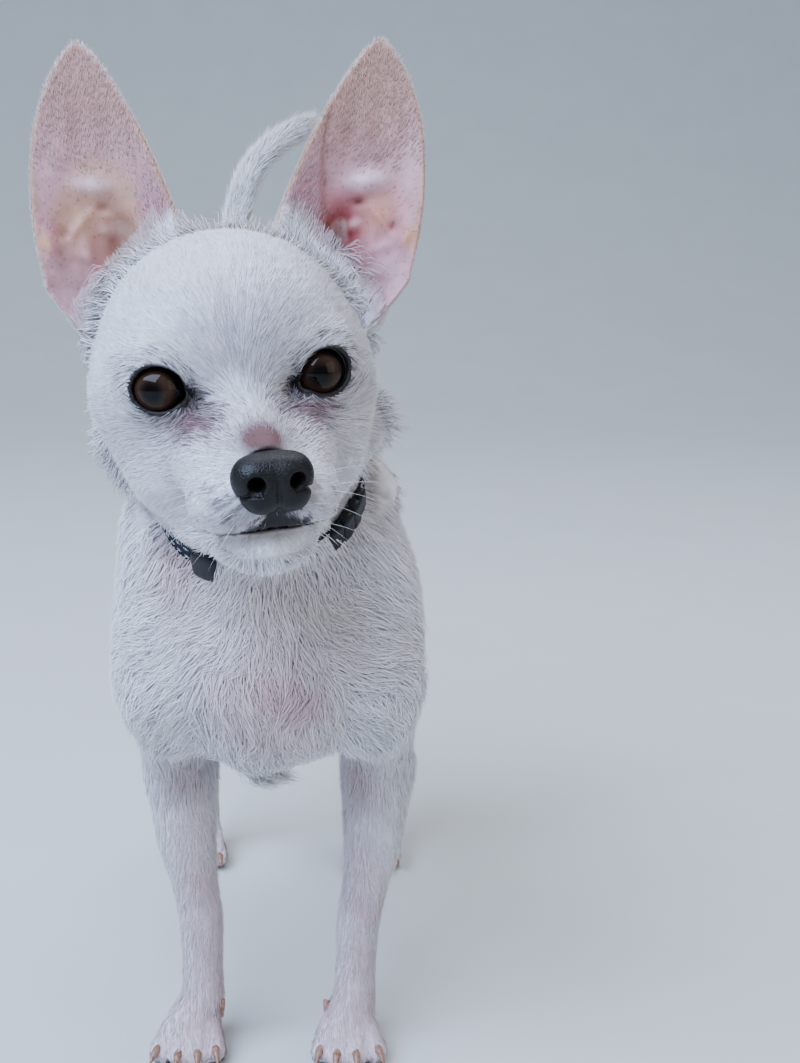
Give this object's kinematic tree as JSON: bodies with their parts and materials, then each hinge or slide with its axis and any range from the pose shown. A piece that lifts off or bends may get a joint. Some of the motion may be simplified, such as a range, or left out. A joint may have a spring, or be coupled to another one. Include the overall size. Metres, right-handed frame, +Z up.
{
  "type": "dog model",
  "caption": "Life-size still model of a standing smooth-coated white chihuahua with large upright ears, a curved tail and a narrow dark collar.",
  "frame": {"origin": "on the floor under the middle of the model's bounding box", "axes": "+Z up, -Y the way the trunk faces, +X to the dog's own left"},
  "size_m": [0.1352, 0.3477, 0.3828],
  "materials": {
    "coat": "short white fur over pink skin",
    "ear": "thin skin with sparse tan and white hair",
    "nose": "moist pebbled black leather",
    "eye": "wet, dark brown",
    "collar": "woven webbing"
  },
  "bodies": {
    "root": {"head": "coat", "jaw": "coat", "nose": "nose", "eye_left": "eye", "eye_right": "eye", "ear_left": "ear", "ear_right": "ear", "neck": "coat", "collar": "collar", "torso": "coat", "croup": "coat", "tail": "coat", "foreleg_left": "coat", "foreleg_right": "coat", "hindleg_left": "coat", "hindleg_right": "coat", "paw_front_left": "coat", "paw_front_right": "coat", "paw_hind_left": "coat", "paw_hind_right": "coat"}
  },
  "joints": []
}
